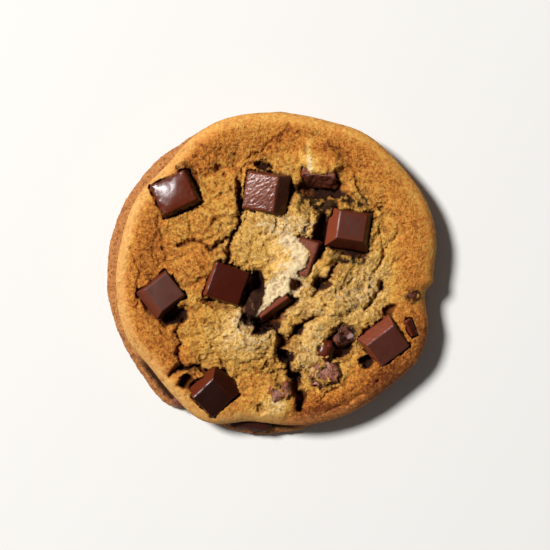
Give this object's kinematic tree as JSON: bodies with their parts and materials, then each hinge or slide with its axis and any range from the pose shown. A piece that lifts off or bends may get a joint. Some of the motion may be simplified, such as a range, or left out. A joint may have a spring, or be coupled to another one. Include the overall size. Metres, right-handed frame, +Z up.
{
  "type": "chocolate chip cookie",
  "caption": "Thick round chocolate chip cookie with a browned rolled rim, a pale cracked middle and square dark chocolate chunks set in it.",
  "frame": {"origin": "middle of the underside's level, under the centre of the cookie's outline", "axes": "+Z up out of the craggy top, +X to the right and +Y to the top of the picture, which looks straight down"},
  "size_m": [0.0876, 0.0859, 0.0144],
  "materials": {
    "baked_dough": "matte baked crumb, golden brown at the rim and pale in the middle",
    "dark_chocolate": "satin dark chocolate"
  },
  "bodies": {
    "root": {"dough": "baked_dough", "chunk_upper_left": "dark_chocolate", "chunk_top": "dark_chocolate", "chunk_upper_right": "dark_chocolate", "chunk_middle": "dark_chocolate", "chunk_left": "dark_chocolate", "chunk_lower_left": "dark_chocolate", "chunk_lower_right": "dark_chocolate", "chunk_right_small": "dark_chocolate", "chunk_under_cap": "dark_chocolate", "chunk_under_centre": "dark_chocolate", "chunk_under_flap": "dark_chocolate", "chunk_lower_bead": "dark_chocolate", "chunk_lower_smear": "dark_chocolate", "chunk_bottom_small": "dark_chocolate", "chunk_in_hollow": "dark_chocolate", "chunk_notch": "dark_chocolate", "chunk_foot": "dark_chocolate", "chunk_side_spot": "dark_chocolate"}
  },
  "joints": []
}
